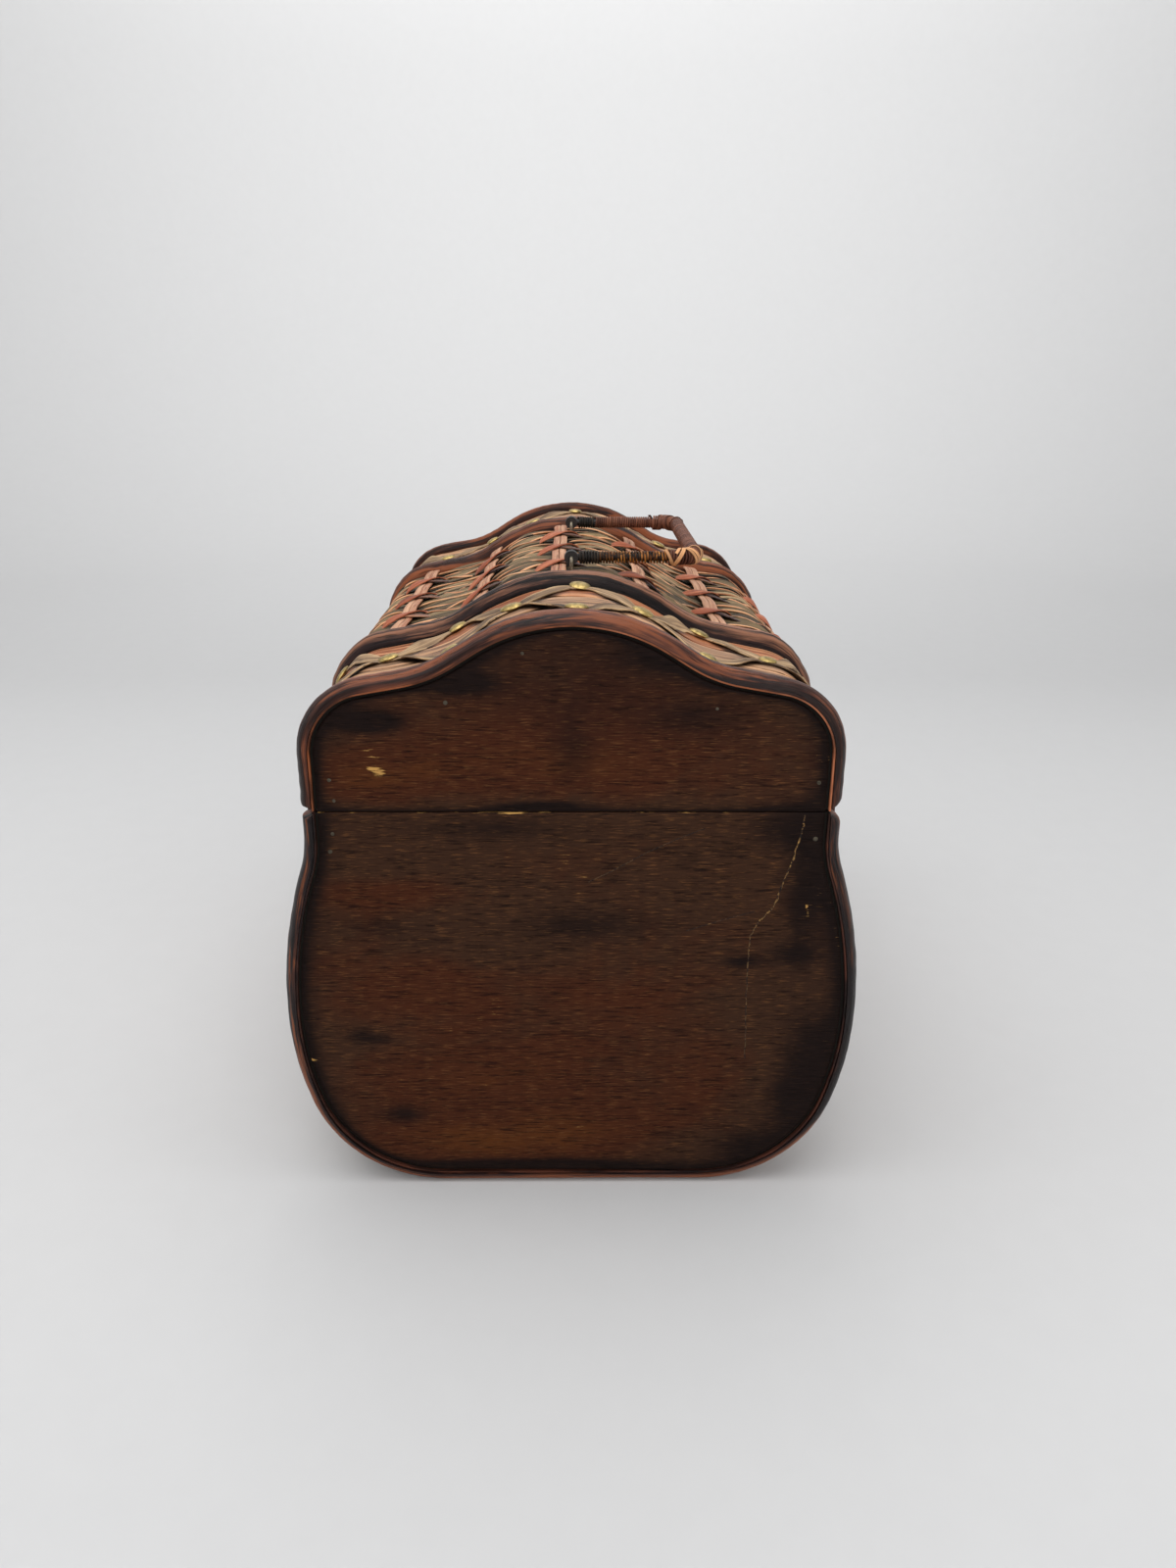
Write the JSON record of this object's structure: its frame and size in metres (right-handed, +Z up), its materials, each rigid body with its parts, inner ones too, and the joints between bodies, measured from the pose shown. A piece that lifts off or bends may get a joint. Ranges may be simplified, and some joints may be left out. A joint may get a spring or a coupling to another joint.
{
  "type": "woven treasure chest",
  "caption": "Dome-topped woven cane chest with shaped wooden ends, a hinged lid, a wrapped swing handle on the ridge and a front hasp with a turn button.",
  "frame": {"origin": "middle of the footprint, on the surface the chest stands on", "axes": "+X along the chest (the pictured end is at +X), +Y towards the hinges, +Z up; the latch is at -Y"},
  "size_m": [0.322, 0.228, 0.2464],
  "materials": {
    "dark_wood": "dark stained board, worn satin",
    "plain_wood": "plain unfinished wood",
    "bent_cane": "half-round cane, stained red-brown, polished by wear",
    "pale_cane_strip": "thin split cane, orange, satin",
    "matting": "woven flat splints, dull",
    "splint": "flat split cane, tan, dull",
    "rib_cane": "flat split cane, pinkish tan, satin",
    "strap_cane": "flat split cane, red-brown, satin",
    "winding": "wound split cane, amber to purple-brown",
    "black_binding": "blackened cane binding",
    "iron_wire": "tinned iron wire, dull",
    "brass": "aged brass"
  },
  "bodies": {
    "chest_body": {"body_band_splints_left": "splint", "body_band_splints_right": "splint", "body_batten_front": "plain_wood", "body_batten_rear": "plain_wood", "body_end_board_left": "dark_wood", "body_end_board_right": "dark_wood", "body_end_rim_left": "bent_cane", "body_end_rim_right": "bent_cane", "body_hoop_left": "bent_cane", "body_hoop_right": "bent_cane", "body_matting": "matting", "body_rail_front": "bent_cane", "body_rail_rear": "bent_cane", "body_reveal_strip_left": "pale_cane_strip", "body_reveal_strip_right": "pale_cane_strip", "body_ribs": "rib_cane", "body_straps": "strap_cane", "body_weft_splints": "splint", "floor_board": "plain_wood", "hasp_back_plate": "brass", "hasp_pin": "brass", "hinge_eyes": "iron_wire"},
    "lid": {"button_plate": "brass", "handle_staples": "iron_wire", "hinge_staples": "iron_wire", "lid_band_splints_left": "splint", "lid_band_splints_right": "splint", "lid_batten_front": "plain_wood", "lid_batten_rear": "plain_wood", "lid_end_board_left": "dark_wood", "lid_end_board_right": "dark_wood", "lid_end_rim_left": "bent_cane", "lid_end_rim_right": "bent_cane", "lid_hoop_left": "bent_cane", "lid_hoop_right": "bent_cane", "lid_matting": "matting", "lid_rail_front": "bent_cane", "lid_rail_rear": "bent_cane", "lid_reveal_strip_left": "pale_cane_strip", "lid_reveal_strip_right": "pale_cane_strip", "lid_ribs": "rib_cane", "lid_ridge_batten": "plain_wood", "lid_straps": "strap_cane", "lid_weft_splints": "splint"},
    "handle": {"handle_arm_windings": "winding", "handle_core": "winding", "handle_end_bindings": "black_binding", "handle_grip_winding": "winding"},
    "hasp": {"hasp": "brass"},
    "turn_button": {"turn_button": "brass"}
  },
  "joints": [
    {"name": "lid_hinge", "type": "hinge", "parent": "chest_body", "child": "lid", "pos_m": [0, 0.0985, 0.1665], "axis": [-1, 0, 0], "range_deg": [0, 108]},
    {"name": "handle_swing", "type": "hinge", "parent": "lid", "child": "handle", "pos_m": [0, 0, 0.2434], "axis": [1, 0, 0], "range_deg": [0, 180]},
    {"name": "hasp_swing", "type": "hinge", "parent": "chest_body", "child": "hasp", "pos_m": [0, -0.1036, 0.1586], "axis": [-1, 0, 0], "range_deg": [0, 166]},
    {"name": "button_turn", "type": "hinge", "parent": "lid", "child": "turn_button", "pos_m": [0, -0.1036, 0.1745], "axis": [0, 1, 0], "range_deg": [0, 90]}
  ]
}
